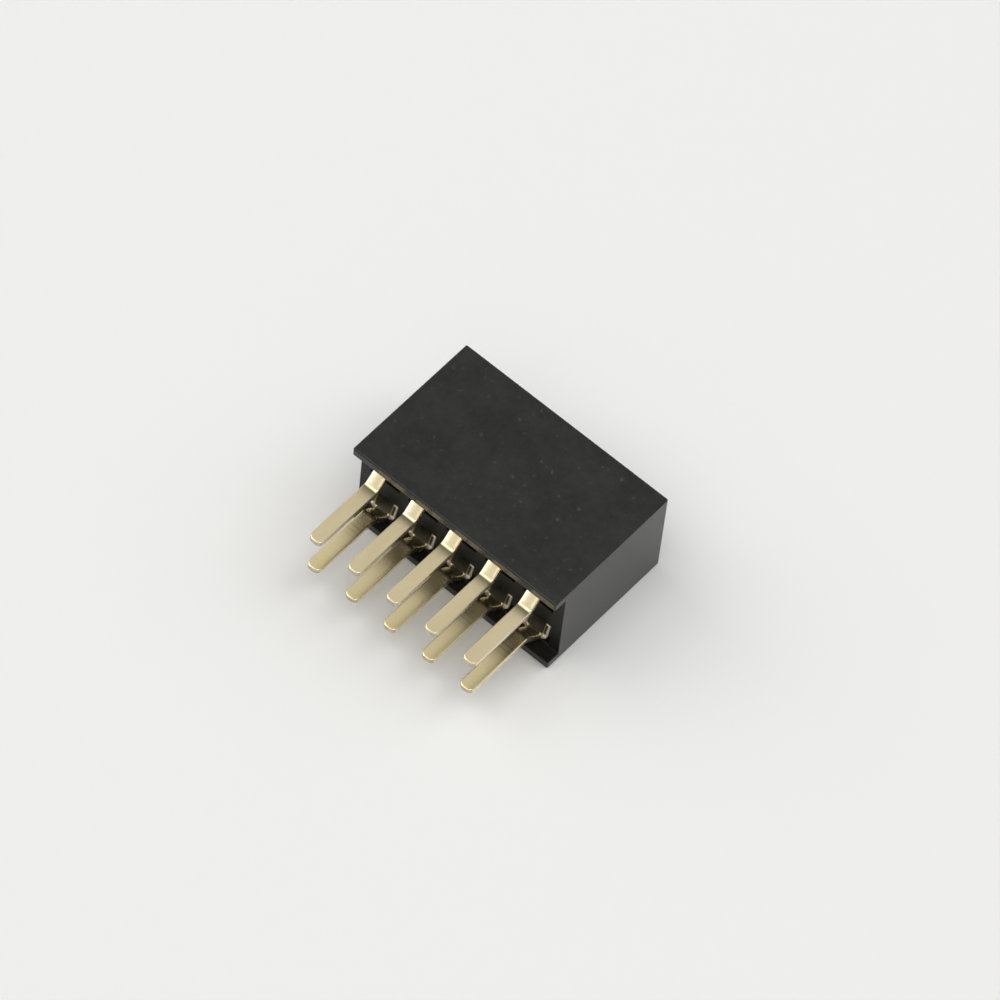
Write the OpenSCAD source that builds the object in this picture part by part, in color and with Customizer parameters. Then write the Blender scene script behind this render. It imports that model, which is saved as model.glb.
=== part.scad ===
// Double-row socket strip for square pins: one moulded housing and ten formed contacts.
// The strip lies on one long side. X runs along the rows, +Y points to the mating face,
// and the solder tails point to -Y. The origin is at the middle of the bottom.

/* [Housing] */
// Distance between neighbouring contacts in a row
pitch = 1.27; // [1.2:0.01:1.6]
// Distance between the two rows
row_pitch = 1.27; // [1.2:0.01:1.35]
// Distance from the outermost contact's centre to the housing's end
end_margin = 0.81; // [0.7:0.01:1.5]
// Thickness of the housing, across the two rows
body_t = 3.0; // [2.9:0.02:3.4]
// Depth of the housing, from its seat on the board to the mating face
body_d = 4.3; // [4:0.1:7]
// Thickness of the two stand-off lips on the solder side
lip_t = 0.27; // [0.15:0.01:0.33]
// Depth of the open channel between the lips
channel_d = 0.4; // [0.2:0.02:0.6]
// Thickness of the long walls outside the contacts
wall_t = 0.34; // [0.28:0.01:0.4]
// Thickness of the front wall, which the pins pass through
front_t = 0.6; // [0.45:0.05:1]
// Side of the square pin hole in the front wall
mouth_w = 0.52; // [0.46:0.02:0.6]
// Side of the square lead-in at the mating face
lead_w = 0.9; // [0.7:0.02:1]
// Depth of the lead-in
lead_d = 0.22; // [0.1:0.02:0.4]
// Rounding of the housing's outer edges
edge_r = 0.05; // [0.02:0.01:0.1]

/* [Contacts] */
// Thickness of the metal strip
strip_t = 0.18; // [0.14:0.01:0.2]
// Width of the solder tail
tail_w = 0.42; // [0.36:0.02:0.5]
// Reach of the solder tail beyond the lips
tail_out = 2.3; // [1:0.1:4]
// Rounding of the tail's tip
tip_r = 0.17; // [0.05:0.01:0.2]
// Bevel along the edges of the tails and the spring arms
edge_cut = 0.03; // [0.01:0.005:0.05]
// Distance from the lips at which the tail bends
jog_out = 0.22; // [0.1:0.02:0.5]
// Slope of the bent part of the tail, in degrees
jog_angle = 45; // [35:1:60]
// Inner radius of the tail's bends
bend_r = 0.15; // [0.1:0.01:0.2]
// Outer width of the folded body
fold_w = 0.86; // [0.78:0.01:0.92]
// Inner radius of the fold
fold_r = 0.05; // [0.02:0.01:0.1]
// Slope of the body's back edge, in degrees
back_angle = 72; // [45:1:80]
// Length of the folded body
fold_l = 1.4; // [1:0.05:1.6]
// Height of the spring arms
arm_h = 0.3; // [0.2:0.02:0.36]
// Gap between the spring arms where they grip the pin
throat = 0.28; // [0.2:0.02:0.34]
// Slope of the spring arms towards the pin, in degrees
arm_angle = 6.5; // [5:0.5:9]
// Slope of the flared arm tips, in degrees
flare_angle = 18; // [8:1:20]
// Length of the flared arm tips
flare_l = 0.2; // [0.1:0.02:0.22]

/* [Fits] */
// Clearance of a contact in its cavity
cavity_gap = 0.05; // [0.03:0.01:0.08]
// Clearance that the retention barbs leave
barb_gap = 0.01; // [0.005:0.005:0.02]
// Clearance from the arm tips to the front wall
tip_gap = 0.1; // [0.05:0.01:0.3]

/* [Hidden] */
$fn = 48;

// Contacts in a row, each a node of its own
columns = 5;
// How far a cut runs past the face that it opens
over = 0.1;
// Radius of the gentle bend at the root of a spring arm, along its middle
arm_root_r = 1.2;
// Radius of the spring arm where it grips the pin, along its middle
arm_grip_r = 0.4;
// How far the tail and the spring arms run on inside the folded body
joint_l = 0.1;
// How far the straight runs of a bent strip reach into its bends, so that they fuse
lap = 0.01;
// Length and distance from the body's back edge of the retention barbs
barb_l = 0.16;
barb_back = 0.55;

body_w = (columns - 1) * pitch + 2 * end_margin;
total_d = body_d + tail_out;

y_mate = total_d / 2;
y_seat = y_mate - body_d;
y_tip = -total_d / 2;
y_floor = y_seat + channel_d;
y_front = y_mate - front_t;

// Heights in the lower row. The upper row is its mirror image.
row_z = (body_t - row_pitch) / 2;
base_z = wall_t + cavity_gap;
base_top = base_z + strip_t;
arm_top = row_z + arm_h / 2;
cavity_top = max(arm_top, row_z + mouth_w / 2) + cavity_gap;
cavity_w = fold_w + 2 * cavity_gap;

// The bent part of the tail: its radius along the middle, and its straight length
bend_mid_r = bend_r + strip_t / 2;
jog_rise = row_z - base_z - strip_t / 2;
jog_l = (jog_rise - 2 * bend_mid_r * (1 - cos(jog_angle))) / sin(jog_angle);
y_bend = y_seat - jog_out;
y_fold = y_bend + 2 * bend_mid_r * sin(jog_angle) + jog_l * cos(jog_angle);
y_arm = y_fold + fold_l;

// The spring arm, along its middle
arm_x = (fold_w - strip_t) / 2;
arm_drop = arm_x - (throat + strip_t) / 2;
arm_bends = (arm_root_r + arm_grip_r) * (1 - cos(arm_angle));
arm_slope_l = (arm_drop - arm_bends) / sin(arm_angle);
y_arm_tip = y_front - tip_gap;
y_throat = y_arm_tip - flare_l * cos(flare_angle) - arm_grip_r * sin(flare_angle);
arm_slope_d = (arm_root_r + arm_grip_r) * sin(arm_angle) + arm_slope_l * cos(arm_angle);
arm_root_l = y_throat - arm_slope_d - y_arm;

function column_x(i) = (i - (columns + 1) / 2) * pitch;

// An outline drawn in Y and Z, made w wide across X
module across(w) {
    rotate([90, 0, 90]) translate([0, 0, -w / 2]) linear_extrude(w) children();
}

// An outline drawn in X and Z, from y0 to y1
module along(y0, y1) {
    translate([0, y1, 0]) rotate([90, 0, 0]) linear_extrude(y1 - y0) children();
}

module rounded_rect(w, h, r) {
    square([w - 2 * r, h], center = true);
    square([w, h - 2 * r], center = true);
    for (x = [-1, 1], y = [-1, 1])
        translate([x * (w / 2 - r), y * (h / 2 - r)]) circle(r);
}

// A rectangle with its corners cut off by c
module bevelled_rect(w, h, c) {
    x = w / 2;
    y = h / 2;
    polygon([[-x, -y + c], [-x + c, -y], [x - c, -y], [x, -y + c],
        [x, y - c], [x - c, y], [-x + c, y], [-x, y - c]]);
}

// A bent strip, followed along its middle. Each step is [length, 0] or [radius, angle],
// and a positive angle turns to the left. Straight runs reach a little into the bends.
module bent_strip(steps, w, t, c, after_bend = false) {
    if (len(steps) > 0) {
        size = steps[0][0];
        turn = steps[0][1];
        rest = [for (i = [1:1:len(steps) - 1]) steps[i]];
        if (turn == 0) {
            start = after_bend ? lap : 0;
            end = len(rest) > 0 ? lap : 0;
            translate([-start, 0, 0]) rotate([90, 0, 90])
                linear_extrude(start + size + end) bevelled_rect(t, w, c);
            translate([size, 0, 0]) bent_strip(rest, w, t, c);
        } else {
            side = sign(turn);
            mirror([0, side < 0 ? 1 : 0, 0]) translate([0, size, 0]) rotate([0, 0, -90])
                rotate_extrude(angle = abs(turn)) translate([size, 0]) bevelled_rect(t, w, c);
            translate([size * sin(abs(turn)), side * size * (1 - cos(turn)), 0])
                rotate([0, 0, turn]) bent_strip(rest, w, t, c, true);
        }
    }
}

module housing_block() {
    intersection() {
        along(y_seat, y_mate) translate([0, body_t / 2]) rounded_rect(body_w, body_t, edge_r);
        linear_extrude(body_t) translate([0, (y_seat + y_mate) / 2])
            rounded_rect(body_w, body_d, edge_r);
        across(body_w) translate([(y_seat + y_mate) / 2, body_t / 2])
            rounded_rect(body_d, body_t, edge_r);
    }
}

// The open channel between the two lips, where the tails leave
module channel() {
    translate([-body_w / 2 - over, y_seat - over, lip_t])
        cube([body_w + 2 * over, channel_d + over, body_t - 2 * lip_t]);
}

// The lead-in's outline: its wide end lies past the mating face
module lead_in_side(flip) {
    slope = (lead_w - mouth_w) / 2 / lead_d;
    wide = lead_w / 2 + slope * over;
    points = [[-mouth_w / 2, y_mate - lead_d], [mouth_w / 2, y_mate - lead_d],
        [wide, y_mate + over], [-wide, y_mate + over]];
    polygon(flip ? [for (p = points) [p[1], p[0]]] : points);
}

// The way in for one pin: the funnel at the mating face and the square hole behind it
module pin_way() {
    intersection() {
        translate([0, 0, -lead_w]) linear_extrude(2 * lead_w) lead_in_side(false);
        across(2 * lead_w) lead_in_side(true);
    }
    along(y_front - over, y_mate) square(mouth_w, center = true);
}

module cavity() {
    translate([-cavity_w / 2, y_floor - over, wall_t])
        cube([cavity_w, y_front - y_floor + over, cavity_top - wall_t]);
    translate([0, 0, row_z]) pin_way();
}

// What belongs to the upper row is the lower row's form turned over
module in_row(upper) {
    if (upper) translate([0, 0, body_t]) mirror([0, 0, 1]) children();
    else children();
}

module housing() {
    color([0.2, 0.2, 0.2]) difference() {
        housing_block();
        channel();
        for (i = [1:columns], upper = [false, true])
            translate([column_x(i), 0, 0]) in_row(upper) cavity();
    }
}

// The rounded tip of the solder tail
module tail_tip() {
    intersection() {
        along(y_tip, y_tip + tip_r) translate([0, row_z])
            bevelled_rect(tail_w, strip_t, edge_cut);
        linear_extrude(body_t) {
            translate([-tail_w / 2 + tip_r, y_tip]) square([tail_w - 2 * tip_r, 2 * tip_r]);
            for (s = [-1, 1]) translate([s * (tail_w / 2 - tip_r), y_tip + tip_r]) circle(tip_r);
        }
    }
}

// The solder tail from its tip through its two bends, and on into the folded body's base
module tail() {
    tail_tip();
    steps = [[y_bend - y_tip - tip_r, 0], [bend_mid_r, -jog_angle], [jog_l, 0],
        [bend_mid_r, jog_angle], [joint_l, 0]];
    translate([0, y_tip + tip_r, row_z]) rotate([90, 0, 90])
        bent_strip(steps, tail_w, strip_t, edge_cut);
}

// The folded body's section: a base with an upright on each side
module fold_section() {
    outer_r = fold_r + strip_t;
    translate([0, base_z]) difference() {
        union() {
            translate([-fold_w / 2, outer_r]) square([fold_w, arm_top - base_z - outer_r]);
            translate([-fold_w / 2 + outer_r, 0]) square([fold_w - 2 * outer_r, outer_r + over]);
            for (s = [-1, 1]) translate([s * (fold_w / 2 - outer_r), outer_r]) circle(outer_r);
        }
        union() {
            inner_w = fold_w - 2 * strip_t;
            translate([-inner_w / 2, outer_r]) square([inner_w, arm_top]);
            translate([-inner_w / 2 + fold_r, strip_t])
                square([inner_w - 2 * fold_r, outer_r]);
            for (s = [-1, 1]) translate([s * (inner_w / 2 - fold_r), outer_r]) circle(fold_r);
        }
    }
}

// The folded body's outline from the side: a sloping back edge, and a front edge that
// runs up to the spring arms
module fold_side() {
    back_l = (arm_top - base_top) / tan(back_angle);
    polygon([[y_fold, base_z - over], [y_fold, base_top], [y_fold + back_l, arm_top],
        [y_arm, arm_top], [y_arm, row_z - arm_h / 2], [y_arm - strip_t, base_z - over]]);
}

module barbs() {
    translate([0, y_fold + barb_back, row_z - arm_h / 2])
        linear_extrude(arm_h)
            for (s = [0, 1]) mirror([s, 0]) translate([fold_w / 2, 0])
                polygon([[-strip_t / 2, 0], [cavity_gap - barb_gap, 0], [0, barb_l],
                    [-strip_t / 2, barb_l]]);
}

module folded_body() {
    intersection() {
        along(y_fold, y_arm) fold_section();
        across(fold_w) fold_side();
    }
    barbs();
}

// One spring arm on the +X side: it leans in to the pin and flares out at its tip
module arm() {
    steps = [[joint_l + arm_root_l, 0], [arm_root_r, arm_angle], [arm_slope_l, 0],
        [arm_grip_r, -arm_angle - flare_angle], [flare_l, 0]];
    translate([arm_x, y_arm - joint_l, row_z]) rotate([0, 0, 90])
        bent_strip(steps, arm_h, strip_t, edge_cut);
}

module contact() {
    color([0.82, 0.74, 0.53]) {
        tail();
        folded_body();
        for (s = [0, 1]) mirror([s, 0, 0]) arm();
    }
}

module contact_lower(i) {
    translate([column_x(i), 0, 0]) contact();
}

module contact_upper(i) {
    translate([column_x(i), 0, 0]) in_row(true) contact();
}

housing();
for (i = [1:columns]) contact_lower(i);
for (i = [1:columns]) contact_upper(i);
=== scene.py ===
"""The looks of a double-row socket strip for square pins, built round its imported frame.

Meshes are drawn in millimetres, where bevels and bends behave well, and scaled to metres at
the end. X runs along the rows, +Y points to the mating face, and +Z is up.
"""

import itertools
import math

import bmesh
import bpy
from mathutils import Matrix, Vector

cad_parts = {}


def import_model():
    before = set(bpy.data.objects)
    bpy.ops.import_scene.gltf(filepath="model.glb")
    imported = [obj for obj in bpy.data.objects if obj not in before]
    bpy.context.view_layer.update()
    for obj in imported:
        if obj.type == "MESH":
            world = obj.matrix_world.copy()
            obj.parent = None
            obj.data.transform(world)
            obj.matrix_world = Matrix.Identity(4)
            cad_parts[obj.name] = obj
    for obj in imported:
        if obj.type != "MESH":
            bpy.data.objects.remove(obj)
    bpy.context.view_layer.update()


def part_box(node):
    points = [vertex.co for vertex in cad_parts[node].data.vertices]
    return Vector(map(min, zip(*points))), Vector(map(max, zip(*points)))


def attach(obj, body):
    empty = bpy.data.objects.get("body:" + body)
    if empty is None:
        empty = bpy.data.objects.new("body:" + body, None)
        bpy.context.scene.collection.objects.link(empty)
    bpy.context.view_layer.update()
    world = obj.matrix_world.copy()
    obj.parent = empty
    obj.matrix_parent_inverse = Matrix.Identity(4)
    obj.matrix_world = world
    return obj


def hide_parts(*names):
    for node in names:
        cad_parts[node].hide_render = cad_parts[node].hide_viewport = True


MM = 0.001
COLUMNS = 5

# Sizes in millimetres that the frame's boxes don't give
LIP_T = 0.27
CHANNEL_D = 0.4
WALL_T = 0.34
FRONT_T = 0.6
MOUTH_W = 0.52
LEAD_W = 0.9
LEAD_D = 0.22
EDGE_R = 0.05
ROW_PITCH = 1.27

STRIP_T = 0.18
TAIL_W = 0.42
TIP_R = 0.17
JOG_OUT = 0.22
JOG_ANGLE = math.radians(45)
BEND_R = 0.15
FOLD_R = 0.05
BACK_ANGLE = math.radians(72)
FOLD_L = 1.4
ARM_H = 0.3
THROAT = 0.28
ARM_ANGLE = math.radians(6.5)
FLARE_ANGLE = math.radians(18)
FLARE_L = 0.2
ARM_ROOT_R = 1.2
ARM_GRIP_R = 0.4
CAVITY_GAP = 0.05
BARB_GAP = 0.01
BARB_L = 0.16
BARB_BACK = 0.55
BARB_ROOT = 0.06
TIP_GAP = 0.1

# Rounding of the edges, as fine as the photograph shows it, and how finely curves are drawn
INNER_EDGE_R = 0.02
STRIP_EDGE_R = 0.036
EDGE_SEGMENTS = 3
HOUSING_SHARP = math.radians(10)
STRIP_SHARP = math.radians(50)
ARC_STEP = math.radians(7.5)
TIP_PARTS = 7
FOLD_PARTS = 7
BODY_PARTS = 8
TINY = 0.001

# Marks of the forming: height of the crown per square of the offset, and pitch of feed marks
CROWN = 0.3
MARK_PITCH = 0.14

# The camera that fits the photograph: direction and roll in degrees, distance and shifts in mm
CAM_AZIMUTH = 35.292
CAM_ELEVATION = 57.280
CAM_ROLL = 7.009
CAM_DISTANCE = 196.08
CAM_RIGHT = -0.0685
CAM_UP = 0.9526
CAM_LENS = 280.3
SENSOR = 36.0

# Colours
BLACK = (0.0015, 0.0017, 0.0018, 1)
SOFT_BLACK = (0.0135, 0.0132, 0.0120, 1)
FLECK = (0.06, 0.059, 0.054, 1)
PLATING = (0.66, 0.56, 0.37, 1)
PLATING_CLOUD = (0.61, 0.52, 0.32, 1)
PLATING_INNER = (0.68, 0.58, 0.345, 1)
FEED_MARK = (0.30, 0.22, 0.12, 1)
# Painted reflection: the sheared sides are made brighter, as if they mirrored the pale floor
SIDE_PAINTED_REFLECTION = (0.93, 0.82, 0.62, 1)
# Painted shade: the folded body inside the housing is darkened
BODY_PAINTED_SHADE = (0.22, 0.2, 0.155, 1)
CUT_DARK = (0.42, 0.385, 0.33, 1)
CUT_PALE = (0.60, 0.56, 0.48, 1)
# Painted highlight at the ends of the uprights' back edges
CUT_END_PAINTED_HIGHLIGHT = (0.92, 0.82, 0.68, 1)
# Painted shade over the inner part of the uprights' back edges
RIM_PAINTED_SHADE = (0.06, 0.05, 0.036, 1)
PAPER = (0.86, 0.86, 0.845, 1)

# The world's strength as light, its strength to the camera and in reflections, and how far in
# metres the lamps stand
AMBIENT = 0.18
BACKDROP = 0.86
LAMP_DISTANCE = 0.45

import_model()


def box_mm(node):
    """Lowest and highest corners of a CAD node, in millimetres."""
    low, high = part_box(node)
    return low / MM, high / MM


def column_middle(node):
    low, high = box_mm(node)
    return (low.x + high.x) / 2


house_low, house_high = box_mm("housing")
first_low, first_high = box_mm("contact_lower_1")
COLUMN_XS = [column_middle(f"contact_lower_{i}") for i in range(1, COLUMNS + 1)]
COLUMN_PITCH = COLUMN_XS[1] - COLUMN_XS[0]

BODY_T = house_high.z
Y_SEAT = house_low.y
Y_MATE = house_high.y
Y_TIP = first_low.y
Y_FLOOR = Y_SEAT + CHANNEL_D
Y_FRONT = Y_MATE - FRONT_T
Y_LEAD = Y_MATE - LEAD_D
ROW_Z = (BODY_T - ROW_PITCH) / 2
BASE_Z = WALL_T + CAVITY_GAP
BASE_TOP = BASE_Z + STRIP_T
BASE_MID = BASE_Z + STRIP_T / 2
ARM_TOP = ROW_Z + ARM_H / 2
ARM_LOW = ROW_Z - ARM_H / 2
FOLD_W = (first_high.x - first_low.x) - 2 * (CAVITY_GAP - BARB_GAP)
CAVITY_W = FOLD_W + 2 * CAVITY_GAP
CAVITY_TOP = max(ARM_TOP, ROW_Z + MOUTH_W / 2) + CAVITY_GAP

BEND_MID_R = BEND_R + STRIP_T / 2
JOG_RISE = ROW_Z - BASE_MID
JOG_L = (JOG_RISE - 2 * BEND_MID_R * (1 - math.cos(JOG_ANGLE))) / math.sin(JOG_ANGLE)
Y_BEND = Y_SEAT - JOG_OUT
Y_FOLD = Y_BEND + 2 * BEND_MID_R * math.sin(JOG_ANGLE) + JOG_L * math.cos(JOG_ANGLE)
Y_ARM = Y_FOLD + FOLD_L

FOLD_MID_R = FOLD_R + STRIP_T / 2
ARM_X = (FOLD_W - STRIP_T) / 2
BASE_FLAT = ARM_X - FOLD_MID_R
ARM_DROP = ARM_X - (THROAT + STRIP_T) / 2
ARM_BENDS = (ARM_ROOT_R + ARM_GRIP_R) * (1 - math.cos(ARM_ANGLE))
ARM_SLOPE_L = (ARM_DROP - ARM_BENDS) / math.sin(ARM_ANGLE)
Y_ARM_TIP = Y_FRONT - TIP_GAP
Y_THROAT = Y_ARM_TIP - FLARE_L * math.cos(FLARE_ANGLE) - ARM_GRIP_R * math.sin(FLARE_ANGLE)
ARM_SLOPE_D = (ARM_ROOT_R + ARM_GRIP_R) * math.sin(ARM_ANGLE) + ARM_SLOPE_L * math.cos(ARM_ANGLE)
ARM_ROOT_L = Y_THROAT - ARM_SLOPE_D - Y_ARM


def object_from(name, mesh):
    piece = bpy.data.objects.new(name, mesh)
    bpy.context.scene.collection.objects.link(piece)
    return piece


def with_modifiers(mesh, *settings):
    """The mesh after the modifiers, each given as (type, its values)."""
    carrier = object_from("carrier", mesh)
    for kind, values in settings:
        modifier = carrier.modifiers.new(kind.lower(), kind)
        for key, value in values.items():
            setattr(modifier, key, value)
    graph = bpy.context.evaluated_depsgraph_get()
    seen = carrier.evaluated_get(graph)
    result = bpy.data.meshes.new_from_object(seen, preserve_all_data_layers=True, depsgraph=graph)
    bpy.data.objects.remove(carrier)
    bpy.data.meshes.remove(mesh)
    return result


def finished_piece(name, mesh, node):
    """Shades a mesh drawn in millimetres, scales it to metres and lets it stand for its node."""
    mesh.shade_smooth()
    mesh = with_modifiers(mesh, ("WEIGHTED_NORMAL", {"keep_sharp": True, "weight": 60}))
    mesh.transform(Matrix.Scale(MM, 4))
    piece = object_from(name, mesh)
    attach(piece, "root")
    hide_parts(node)


def mesh_from(name, bm, *materials):
    bmesh.ops.recalc_face_normals(bm, faces=bm.faces)
    mesh = bpy.data.meshes.new(name)
    for material in materials:
        mesh.materials.append(material)
    bm.to_mesh(mesh)
    bm.free()
    return mesh


# Housing: a block of cells between grid planes, with the open cells left out

def housing_planes():
    """Where the grid planes cross X, Y and Z."""
    xs = [house_low.x, house_high.x]
    for x in COLUMN_XS:
        xs += [x - CAVITY_W / 2, x - MOUTH_W / 2, x + MOUTH_W / 2, x + CAVITY_W / 2]
    lower = [0, LIP_T, WALL_T, ROW_Z - MOUTH_W / 2, ROW_Z + MOUTH_W / 2, CAVITY_TOP]
    zs = lower + [BODY_T - z for z in lower]
    return sorted(xs), [Y_SEAT, Y_FLOOR, Y_FRONT, Y_LEAD, Y_MATE], sorted(zs)


def from_row(z):
    """Height above the middle of the nearer row, counted towards the strip's middle."""
    return min(z, BODY_T - z) - ROW_Z


def is_solid(x, y, z):
    """Whether a place holds plastic: lips first, then cavities, then the front wall's holes."""
    if y < Y_FLOOR:
        return min(z, BODY_T - z) < LIP_T
    side = min(abs(x - column) for column in COLUMN_XS)
    up = from_row(z)
    if y < Y_FRONT:
        return side > CAVITY_W / 2 or not WALL_T - ROW_Z < up < CAVITY_TOP - ROW_Z
    return side > MOUTH_W / 2 or abs(up) > MOUTH_W / 2


def spread_lead_in(offset):
    """Where a grid plane near a pin hole goes at the mating face, which the lead-in widens."""
    mouth, lead = MOUTH_W / 2, LEAD_W / 2
    if abs(offset) > CAVITY_W / 2 + INNER_EDGE_R:
        return offset
    wide = lead if abs(offset) < mouth + INNER_EDGE_R / 2 else lead + INNER_EDGE_R * 3
    return math.copysign(wide, offset)


def lead_in_place(x, y, z):
    """Where a grid point goes: at the mating face it moves outwards to make the lead-ins."""
    if y < Y_MATE - INNER_EDGE_R:
        return x, y, z
    column = min(COLUMN_XS, key=lambda middle: abs(x - middle))
    row = ROW_Z if z < BODY_T / 2 else BODY_T - ROW_Z
    new_x = column + spread_lead_in(x - column)
    near_wall = min(z, BODY_T - z) < WALL_T + INNER_EDGE_R / 2
    new_z = z if near_wall else row + spread_lead_in(z - row)
    return new_x, y, new_z


def is_solid_cell(planes, cell):
    """Whether a cell, named by its lower planes, holds plastic. Cells past the grid don't."""
    middle = []
    for stops, i in zip(planes, cell):
        if not 0 <= i < len(stops) - 1:
            return False
        middle.append((stops[i] + stops[i + 1]) / 2)
    return is_solid(*middle)


def neighbour(cell, axis, side):
    """The next cell along an axis: side 0 is the lower one and side 1 the upper one."""
    step = 1 if side else -1
    return tuple(i + step if n == axis else i for n, i in enumerate(cell))


def side_ring(cell, axis, side):
    """The four grid points round one side of a cell."""
    ring = []
    for a, b in ((0, 0), (1, 0), (1, 1), (0, 1)):
        offset = [a, b]
        offset.insert(axis, side)
        ring.append(tuple(i + step for i, step in zip(cell, offset)))
    return ring


def bare_sides(planes):
    """The grid points round each side where plastic meets air."""
    for cell in itertools.product(*(range(len(stops) - 1) for stops in planes)):
        if not is_solid_cell(planes, cell):
            continue
        for axis, side in itertools.product(range(3), (0, 1)):
            if not is_solid_cell(planes, neighbour(cell, axis, side)):
                yield side_ring(cell, axis, side)


def cell_solid(planes):
    """The outside of all solid cells, as quads."""
    bm = bmesh.new()
    made = {}
    for ring in bare_sides(planes):
        for point in ring:
            if point not in made:
                place = [stops[i] for stops, i in zip(planes, point)]
                made[point] = bm.verts.new(lead_in_place(*place))
        bm.faces.new([made[point] for point in ring])
    return bm


def outer_faces_at(place):
    """How many of the block's six outer faces a place lies on."""
    count = 0
    for axis in range(3):
        if min(place[axis] - house_low[axis], house_high[axis] - place[axis]) < TINY:
            count += 1
    return count


def mark_edges(bm):
    """Gives each sharp edge its share of the outer rounding."""
    weight = bm.edges.layers.float.new("bevel_weight_edge")
    for edge in bm.edges:
        if len(edge.link_faces) != 2 or edge.calc_face_angle(0) < HOUSING_SHARP:
            continue
        middle = (edge.verts[0].co + edge.verts[1].co) / 2
        edge[weight] = 1.0 if outer_faces_at(middle) == 2 else INNER_EDGE_R / EDGE_R


def is_recessed(middle):
    """Whether a place lies between the lips or in a cavity."""
    inside = LIP_T - TINY < middle.z < BODY_T - LIP_T + TINY
    return inside and middle.y < Y_FRONT + TINY and abs(middle.x) < house_high.x - EDGE_R


def housing_piece(*materials):
    """The outside takes the first material, and the recess between the lips the second."""
    bm = cell_solid(housing_planes())
    bmesh.ops.recalc_face_normals(bm, faces=bm.faces)
    for face in bm.faces:
        face.material_index = int(is_recessed(face.calc_center_median()))
    mark_edges(bm)
    bevel = {"width": EDGE_R, "segments": EDGE_SEGMENTS, "limit_method": "WEIGHT",
             "use_clamp_overlap": False, "miter_outer": "MITER_SHARP"}
    block = mesh_from("housing_moulding", bm, *materials)
    finished_piece("housing_moulding", with_modifiers(block, ("BEVEL", bevel)), "housing")


# Contacts: the strip's middle surface, thickened and rounded along its edges

def path(start, heading, steps, straight_parts=3):
    """Points along straight runs and arcs, as (place, heading). A step is (length, 0) or
    (radius, angle), and a positive angle turns to the left."""
    at = Vector(start)
    points = [(at.copy(), heading)]
    for size, turn in steps:
        if turn == 0:
            for _ in range(straight_parts):
                at = at + Vector((math.cos(heading), math.sin(heading))) * size / straight_parts
                points.append((at.copy(), heading))
            continue
        parts = max(2, round(abs(turn) / ARC_STEP))
        side = math.copysign(1, turn)
        centre = at + Vector((-math.sin(heading), math.cos(heading))) * size * side
        for _ in range(parts):
            heading += turn / parts
            at = centre - Vector((-math.sin(heading), math.cos(heading))) * size * side
            points.append((at.copy(), heading))
    return points


def add_grid(bm, rows):
    """Quads between rows of points. Neighbouring patches are welded later."""
    made = [[bm.verts.new(point) for point in row] for row in rows]
    for one, two in zip(made, made[1:]):
        for a, b, c, d in zip(one, one[1:], two[1:], two):
            bm.faces.new((a, b, c, d))


def section_stops():
    """Places along half of the folded body's section: distance from its middle and height."""
    stops = [(x, BASE_MID) for x in (0, BASE_FLAT / 2)]
    tail_turn = math.asin((TAIL_W / 2 - BASE_FLAT) / FOLD_MID_R)
    for i in range(FOLD_PARTS + 1):
        turn = tail_turn + (math.pi / 2 - tail_turn) * i / FOLD_PARTS
        stops.append((BASE_FLAT + FOLD_MID_R * math.sin(turn),
                      BASE_MID + FOLD_MID_R * (1 - math.cos(turn))))
    stops += [(ARM_X, z) for z in (ARM_LOW, ROW_Z, ARM_TOP)]
    return stops


def back_y(z):
    """The back edge slopes towards the front as it rises."""
    return Y_FOLD + max(0, z - BASE_TOP) / math.tan(BACK_ANGLE)


def front_y(z):
    """The front edge runs up to the spring arms."""
    share = min(1, max(0, (z - BASE_Z) / (ARM_LOW - BASE_Z)))
    return Y_ARM - STRIP_T * (1 - share)


def mirrored(stops):
    """Half a section's stops, made whole across X."""
    return [(-x, z) for x, z in reversed(stops[1:])] + stops


def add_tip(bm, across):
    """One flat face: the rounded end of the tail, up to its first full row."""
    start = TAIL_W / 2 - TIP_R
    arc = []
    for i in range(1, TIP_PARTS + 1):
        turn = math.pi / 2 * i / TIP_PARTS
        arc.append((start + TIP_R * math.cos(turn), Y_TIP + TIP_R * (1 - math.sin(turn))))
    outline = [(x, Y_TIP + TIP_R) for x in across]
    outline += arc
    outline += [(-x, y) for x, y in reversed(arc)]
    bm.faces.new([bm.verts.new((x, y, ROW_Z)) for x, y in outline])


def add_tail(bm, stops):
    """The tail and its two bends, up to the folded body."""
    tail_stops = mirrored([stop for stop in stops if stop[0] <= TAIL_W / 2 + TINY])
    across = [x for x, _ in tail_stops]
    add_tip(bm, across)
    steps = [(Y_BEND - Y_TIP - TIP_R, 0), (BEND_MID_R, -JOG_ANGLE), (JOG_L, 0),
             (BEND_MID_R, JOG_ANGLE)]
    places = path((Y_TIP + TIP_R, ROW_Z), 0, steps)
    rows = []
    for place, _ in places[:-1]:
        rows.append([(x, place.x, place.y) for x in across])
    rows.append([(x, Y_FOLD, z) for x, z in tail_stops])
    add_grid(bm, rows)


def add_body(bm, stops):
    """The folded body, from its sloped back edge to its front edge."""
    rows = []
    for i in range(BODY_PARTS + 1):
        share = i / BODY_PARTS
        rows.append([(x, back_y(z) + (front_y(z) - back_y(z)) * share, z)
                     for x, z in mirrored(stops)])
    add_grid(bm, rows)


def add_arms(bm):
    """Two spring arms, which lean in to the pin and flare at their tips."""
    steps = [(ARM_ROOT_L, 0), (ARM_ROOT_R, ARM_ANGLE), (ARM_SLOPE_L, 0),
             (ARM_GRIP_R, -ARM_ANGLE - FLARE_ANGLE), (FLARE_L, 0)]
    places = path((Y_ARM, -ARM_X), 0, steps)
    for side in (-1, 1):
        rows = []
        for place, _ in places:
            rows.append([(side * place.y, place.x, z) for z in (ARM_LOW, ROW_Z, ARM_TOP)])
        add_grid(bm, rows)


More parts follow.
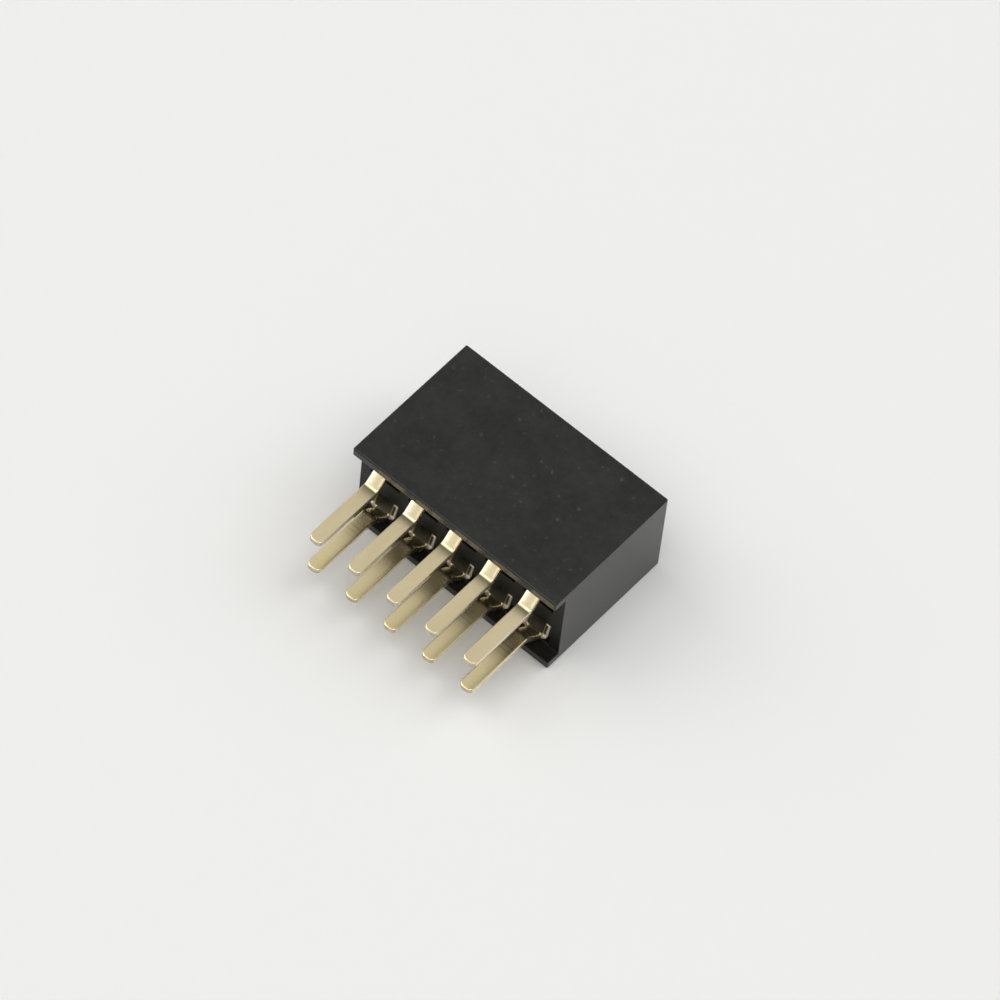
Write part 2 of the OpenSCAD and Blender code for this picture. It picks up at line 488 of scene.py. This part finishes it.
def add_barbs(bm):
    """Small wedges on both sides of the body, which hold the contact in its cavity."""
    y = Y_FOLD + BARB_BACK
    outer = FOLD_W / 2
    outline = [(outer - BARB_ROOT, y), (outer + CAVITY_GAP - BARB_GAP, y),
               (outer, y + BARB_L), (outer - BARB_ROOT, y + BARB_L)]
    for side in (-1, 1):
        rings = [[bm.verts.new((side * px, py, z)) for px, py in outline] for z in (ARM_LOW, ARM_TOP)]
        bm.faces.new(rings[0])
        bm.faces.new(rings[1])
        for i in range(4):
            j = (i + 1) % 4
            bm.faces.new((rings[0][i], rings[0][j], rings[1][j], rings[1][i]))


def keep_back_edges(bm):
    """Leaves the cut-edge material only on the tip and on the folded body's back edges."""
    for face in bm.faces:
        middle = face.calc_center_median()
        on_edge = middle.y < Y_TIP + TIP_R or middle.y > Y_BEND
        if face.material_index == 1 and not (on_edge and face.normal.y < -0.5):
            face.material_index = 0


def contact_mesh(*materials):
    """One contact of the lower row, in millimetres, with its column at X = 0. The strip takes
    the first material, and its cut edges that face the tails' side the second."""
    bm = bmesh.new()
    stops = section_stops()
    add_tail(bm, stops)
    add_body(bm, stops)
    add_arms(bm)
    bmesh.ops.remove_doubles(bm, verts=bm.verts, dist=TINY)
    solidify = {"thickness": STRIP_T, "offset": 0.0, "use_even_offset": True,
                "use_quality_normals": True, "material_offset_rim": 1}
    bevel = {"width": STRIP_EDGE_R, "segments": EDGE_SEGMENTS, "limit_method": "ANGLE",
             "angle_limit": STRIP_SHARP, "use_clamp_overlap": False, "material": 0}
    sheet = mesh_from("strip", bm, *materials)
    strip = with_modifiers(sheet, ("SOLIDIFY", solidify), ("BEVEL", bevel))
    bm = bmesh.new()
    bm.from_mesh(strip)
    bpy.data.meshes.remove(strip)
    add_barbs(bm)
    keep_back_edges(bm)
    return mesh_from("contact", bm, *materials)


def contact_pieces(*materials):
    """All ten contacts: copies of one mesh, turned over for the upper row."""
    master = contact_mesh(*materials)
    turn_over = Matrix.Translation((0, 0, BODY_T)) @ Matrix.Diagonal((1, 1, -1, 1))
    for row in ("lower", "upper"):
        for i, x in enumerate(COLUMN_XS, 1):
            mesh = master.copy()
            if row == "upper":
                mesh.transform(turn_over)
                mesh.flip_normals()
            mesh.transform(Matrix.Translation((x, 0, 0)))
            node = f"contact_{row}_{i}"
            finished_piece(f"{node}_strip", mesh, node)
    bpy.data.meshes.remove(master)


# Materials

class Graph:
    """A short way to write a material's nodes."""

    def __init__(self, name):
        self.material = bpy.data.materials.new(name)
        self.material.use_nodes = True
        self.tree = self.material.node_tree
        self.shader = self.tree.nodes["Principled BSDF"]

    def node(self, kind, inputs=None, **values):
        made = self.tree.nodes.new(kind)
        for key, value in values.items():
            setattr(made, key, value)
        for key, value in (inputs or {}).items():
            self.feed(made.inputs[key], value)
        return made

    def feed(self, socket, value):
        if isinstance(value, bpy.types.NodeSocket):
            self.tree.links.new(value, socket)
        else:
            socket.default_value = value

    def place(self, scale):
        """Object coordinates in millimetres, times scale."""
        coords = self.node("ShaderNodeTexCoord").outputs["Object"]
        size = tuple(value / MM for value in scale)
        return self.node("ShaderNodeMapping", {"Vector": coords, "Scale": size}).outputs["Vector"]

    def noise(self, scale, detail=3.0, roughness=0.5):
        made = self.node("ShaderNodeTexNoise", {"Vector": self.place(scale), "Scale": 1.0,
                                                "Detail": detail, "Roughness": roughness})
        return made.outputs["Fac"]

    def ranged(self, value, low, high, new_low, new_high):
        made = self.node("ShaderNodeMapRange", {"Value": value, "From Min": low, "From Max": high,
                                                "To Min": new_low, "To Max": new_high})
        return made.outputs["Result"]

    def math(self, operation, one, two=0.0):
        made = self.node("ShaderNodeMath", operation=operation)
        self.feed(made.inputs[0], one)
        self.feed(made.inputs[1], two)
        return made.outputs[0]

    def mix(self, share, one, two):
        made = self.node("ShaderNodeMix", data_type="RGBA")
        self.feed(made.inputs[0], share)
        self.feed(made.inputs[6], one)
        self.feed(made.inputs[7], two)
        return made.outputs[2]

    def facing(self, axis):
        """The surface's own direction: its part along an axis, from -1 to 1."""
        normal = self.node("ShaderNodeNewGeometry").outputs["True Normal"]
        return self.node("ShaderNodeSeparateXYZ", {"Vector": normal}).outputs[axis]

    def at(self, axis):
        """Place in millimetres along an axis."""
        coords = self.node("ShaderNodeTexCoord").outputs["Object"]
        made = self.node("ShaderNodeSeparateXYZ", {"Vector": coords})
        return self.math("DIVIDE", made.outputs[axis], MM)

    def from_column(self):
        """Distance in millimetres from the middle of the nearest column."""
        offset = self.node("ShaderNodeMath", operation="WRAP")
        self.feed(offset.inputs[0], self.at("X"))
        offset.inputs[1].default_value = COLUMN_XS[0] + COLUMN_PITCH / 2
        offset.inputs[2].default_value = COLUMN_XS[0] - COLUMN_PITCH / 2
        return self.math("ABSOLUTE", self.math("SUBTRACT", offset.outputs[0], COLUMN_XS[0]))

    def flecks(self):
        """Small ragged spots of many sizes, one in some cells of a cell pattern."""
        ragged = self.node("ShaderNodeTexNoise", {"Vector": self.place((9, 9, 9)), "Scale": 1.0})
        shifted = self.node("ShaderNodeVectorMath", operation="MULTIPLY_ADD")
        self.feed(shifted.inputs[0], ragged.outputs["Color"])
        shifted.inputs[1].default_value = (0.6, 0.6, 0.6)
        self.feed(shifted.inputs[2], self.place((5, 5, 5)))
        cells = self.node("ShaderNodeTexVoronoi", {"Vector": shifted.outputs["Vector"], "Scale": 1.0})
        pick = self.node("ShaderNodeSeparateColor", {"Color": cells.outputs["Color"]})
        size = self.ranged(pick.outputs["Green"], 0.2, 1, 0.12, 0.36)
        share = self.math("DIVIDE", cells.outputs["Distance"], size)
        near = self.ranged(share, 0.2, 1, 1, 0)
        return self.math("MULTIPLY", near, self.ranged(pick.outputs["Red"], 0.35, 1, 0, 0.75))

    def bump(self, height, distance, strength=1.0, normal=None):
        made = self.node("ShaderNodeBump", {"Height": height, "Distance": distance * MM,
                                            "Strength": strength})
        if normal:
            self.feed(made.inputs["Normal"], normal)
        return made.outputs["Normal"]


def plastic_material(name, dark, pale, roughness, specular, flecks):
    """Black moulded plastic: faint mottling, a fine grain, and pale flecks where it is handled."""
    g = Graph(name)
    mottle = g.noise((1.1, 1.1, 1.1), detail=6, roughness=0.85)
    grain = g.noise((14, 14, 14), detail=3)
    color = g.mix(g.ranged(mottle, 0.36, 0.64, 0, 1), dark, pale)
    if flecks:
        color = g.mix(g.flecks(), color, FLECK)
    g.feed(g.shader.inputs["Base Color"], color)
    g.feed(g.shader.inputs["Roughness"], g.ranged(grain, 0.3, 0.7, roughness - 0.03, roughness + 0.03))
    g.shader.inputs["Specular IOR Level"].default_value = specular
    g.feed(g.shader.inputs["Normal"], g.bump(grain, 0.001))
    return g.material


def crown(g):
    """The bent part of the strip is a little higher along its middle: forming leaves it so."""
    offset = g.from_column()
    starts = g.ranged(g.at("Y"), Y_BEND + 0.06, Y_BEND + 0.16, 0, -1)
    ends = g.ranged(g.at("Y"), Y_FOLD - 0.06, Y_FOLD + 0.04, 1, 0)
    return g.math("MULTIPLY", g.math("MULTIPLY", offset, offset), g.math("MULTIPLY", starts, ends))


def folded_body(g):
    """1 on the folded body between the plated tail and arms, which is rougher and darkened by painted
    shade.
    """
    starts = g.ranged(g.at("Y"), Y_FOLD - 0.12, Y_FOLD + 0.08, 0, 1)
    ends = g.ranged(g.at("Y"), Y_ARM - 0.3, Y_ARM, 1, 0)
    return g.math("MULTIPLY", starts, ends)


def inner_side(g):
    """1 on the side of the strip that faces the other row, which also touches the pins."""
    side = g.math("MULTIPLY", g.math("SUBTRACT", g.at("Z"), BODY_T / 2), g.facing("Z"))
    return g.ranged(side, -0.3, -0.5, 0, 1)


def feed_marks(g, inner):
    """A few thin lines across some tails near their bends, where the feed gripped the strip."""
    wave = g.math("SINE", g.math("MULTIPLY", g.at("Y"), 2 * math.pi / MARK_PITCH))
    line = g.ranged(wave, 0.75, 0.98, 0, 1)
    middle = g.ranged(g.at("Y"), Y_BEND - 0.75, Y_BEND - 0.65, 0, 1)
    end = g.ranged(g.at("Y"), Y_BEND - 0.35, Y_BEND - 0.25, 1, 0)
    some = g.ranged(g.noise((0.9, 0.4, 0.9), detail=1), 0.45, 0.55, 0, 1)
    zone = g.math("MULTIPLY", g.math("MULTIPLY", middle, end), g.math("MULTIPLY", some, inner))
    return g.math("MULTIPLY", line, zone)


def plating_color(g, cloud, body):
    """Pale gold with soft clouds, yellower on the inner side, with a painted reflection that
    brightens the sheared sides, feed marks on the tails, and painted shade on the folded body."""
    inner = inner_side(g)
    color = g.mix(g.ranged(cloud, 0.35, 0.65, 0, 1), PLATING, PLATING_CLOUD)
    color = g.mix(inner, color, PLATING_INNER)
    color = g.mix(g.math("MULTIPLY", feed_marks(g, inner), 0.75), color, FEED_MARK)
    # Painted reflection: faces that look along X, the sheared sides, take a brighter colour
    sheared = g.ranged(g.math("ABSOLUTE", g.facing("X")), 0.8, 0.95, 0, 1)
    color = g.mix(sheared, color, SIDE_PAINTED_REFLECTION)
    # Painted shade: the folded body is mixed towards a dark colour
    return g.mix(g.math("MULTIPLY", body, 0.8), color, BODY_PAINTED_SHADE)


def metal_material():
    """Satin plating on a strip with faint rolling marks, duller and darkened by painted shade on the
    folded body.
    """
    g = Graph("contact_plating")
    cloud = g.noise((2.5, 1.0, 2.5), detail=2)
    rolled = g.noise((30, 2.0, 30), detail=1)
    body = folded_body(g)
    g.feed(g.shader.inputs["Base Color"], plating_color(g, cloud, body))
    g.shader.inputs["Metallic"].default_value = 1.0
    satin = g.ranged(cloud, 0.3, 0.7, 0.25, 0.31)
    g.feed(g.shader.inputs["Roughness"], g.math("ADD", satin, g.math("MULTIPLY", body, 0.16)))
    fine = g.bump(rolled, 0.0002)
    g.feed(g.shader.inputs["Normal"], g.bump(crown(g), CROWN, normal=fine))
    return g.material


def upright_middle(g):
    """1 between the ends of an upright's back edge, and 0 at its top and where it is folded."""
    depth = g.math("ABSOLUTE", g.math("SUBTRACT", g.at("Z"), BODY_T / 2))
    top = BODY_T / 2 - ARM_TOP
    fold = BODY_T / 2 - BASE_TOP - FOLD_R
    from_top = g.ranged(depth, top + 0.05, top + 0.09, 0, 1)
    from_fold = g.ranged(depth, fold - 0.05, fold, 1, 0)
    return g.math("MULTIPLY", from_top, from_fold)


def cut_edge_color(g, tear):
    """Dull on the tip. On the folded body's back edges, a painted highlight at the uprights' ends
    and painted shade over the inner part of the uprights' back edges between their ends."""
    inside = g.ranged(g.at("Y"), Y_SEAT, Y_FOLD, 0, 1)
    middle = upright_middle(g)
    # Painted highlight at the uprights' ends
    ends = g.math("MULTIPLY", inside, g.math("SUBTRACT", 1.0, middle))
    # Painted shade over the inner part of the uprights' back edges, between their ends
    rim_shade = g.ranged(g.from_column(), ARM_X + STRIP_T * 0.2, ARM_X, 0, 1)
    rim_shade = g.math("MULTIPLY", rim_shade, g.math("MULTIPLY", inside, middle))
    color = g.mix(g.ranged(tear, 0.35, 0.65, 0, 1), CUT_DARK, CUT_PALE)
    return g.mix(rim_shade, g.mix(ends, color, CUT_END_PAINTED_HIGHLIGHT), RIM_PAINTED_SHADE)


def cut_edge_material():
    """A cut edge of the strip, which is rougher and duller than the plating."""
    g = Graph("contact_cut_edge")
    tear = g.noise((18, 18, 6), detail=3)
    g.feed(g.shader.inputs["Base Color"], cut_edge_color(g, tear))
    g.shader.inputs["Metallic"].default_value = 1.0
    g.feed(g.shader.inputs["Roughness"], g.ranged(tear, 0.3, 0.7, 0.4, 0.55))
    g.feed(g.shader.inputs["Normal"], g.bump(tear, 0.002))
    return g.material


# Camera, floor and light

def camera():
    """The camera, placed and rolled as the photograph's was."""
    azimuth, elevation = math.radians(CAM_AZIMUTH), math.radians(CAM_ELEVATION)
    roll = math.radians(CAM_ROLL)
    back = Vector((math.sin(azimuth) * math.cos(elevation),
                   -math.cos(azimuth) * math.cos(elevation), math.sin(elevation)))
    level = Vector((math.cos(azimuth), math.sin(azimuth), 0))
    upright = back.cross(level)
    right = level * math.cos(roll) + upright * math.sin(roll)
    up = upright * math.cos(roll) - level * math.sin(roll)
    middle = Vector((0, (Y_SEAT + Y_MATE) / 2, 0))
    place = middle + back * CAM_DISTANCE + right * CAM_RIGHT + up * CAM_UP
    data = bpy.data.cameras.new("camera")
    data.lens = CAM_LENS
    data.sensor_width = SENSOR
    data.clip_start = 0.01
    data.clip_end = 5
    made = object_from("camera", data)
    turn = Matrix((right, up, back)).transposed().to_4x4()
    made.matrix_world = Matrix.Translation(place * MM) @ turn
    bpy.context.scene.camera = made


def floor():
    """Plain pale paper under the object."""
    size = 1.5
    bm = bmesh.new()
    bmesh.ops.create_grid(bm, x_segments=1, y_segments=1, size=size)
    made = object_from("floor", mesh_from("floor", bm))
    g = Graph("floor_paper")
    g.shader.inputs["Base Color"].default_value = PAPER
    g.shader.inputs["Roughness"].default_value = 0.9
    g.shader.inputs["Specular IOR Level"].default_value = 0.1
    made.data.materials.append(g.material)


def softbox(name, direction, size, strength, gloss=True, diffuse=True):
    """A square area lamp in a direction from the object, which it faces. It can be kept out of
    the gloss or of the plain light."""
    towards = Vector(direction).normalized()
    data = bpy.data.lights.new(name, "AREA")
    data.shape = "SQUARE"
    data.size = size
    data.energy = strength * size ** 2 * math.pi
    made = object_from(name, data)
    made.visible_glossy = gloss
    made.visible_diffuse = diffuse
    made.location = towards * LAMP_DISTANCE
    made.rotation_mode = "QUATERNION"
    made.rotation_quaternion = towards.to_track_quat("Z", "Y")


def lamps():
    """Two lamps that light and shine, three that only shine, and four that only light."""
    softbox("softbox_left", (-0.73, -0.24, 0.64), 0.36, 1.7)
    softbox("softbox_top", (-0.3, -0.25, 0.92), 0.25, 1.3)
    softbox("glint_left", (-0.66, -0.66, 0.36), 0.2, 3.6, diffuse=False)
    softbox("glint_front", (0.04, -0.86, 0.5), 0.14, 1.2, diffuse=False)
    softbox("glint_right", (0.55, -0.42, 0.72), 0.15, 6.0, diffuse=False)
    softbox("softbox_right", (0.46, 0.58, 0.67), 0.36, 1.25, gloss=False)
    softbox("softbox_over", (0, 0, 1), 0.3, 0.9, gloss=False)
    softbox("softbox_high_back", (0.35, 0.35, 0.87), 0.36, 0.95, gloss=False)
    softbox("softbox_high_front", (0.14, -0.47, 0.87), 0.36, 0.95, gloss=False)


def world():
    """Even light, with a backdrop as pale as the floor for the camera and for reflections."""
    made = bpy.data.worlds.new("studio")
    bpy.context.scene.world = made
    made.use_nodes = True
    tree = made.node_tree
    rays = tree.nodes.new("ShaderNodeLightPath").outputs
    seen = rays["Is Camera Ray"]
    for kind in ("Is Glossy Ray", "Is Transmission Ray"):
        either = tree.nodes.new("ShaderNodeMath")
        either.operation = "MAXIMUM"
        tree.links.new(seen, either.inputs[0])
        tree.links.new(rays[kind], either.inputs[1])
        seen = either.outputs[0]
    level = tree.nodes.new("ShaderNodeMapRange")
    level.inputs["To Min"].default_value = AMBIENT
    level.inputs["To Max"].default_value = BACKDROP
    tree.links.new(seen, level.inputs["Value"])
    background = tree.nodes["Background"]
    background.inputs["Color"].default_value = (1, 1, 0.985, 1)
    tree.links.new(level.outputs["Result"], background.inputs["Strength"])


bpy.context.scene.view_settings.view_transform = "Standard"
camera()
floor()
world()
lamps()

housing_piece(
    plastic_material("housing_plastic", BLACK, SOFT_BLACK, 0.21, 0.36, True),
    plastic_material("housing_recess", BLACK, SOFT_BLACK, 0.45, 0.2, False))
contact_pieces(metal_material(), cut_edge_material())
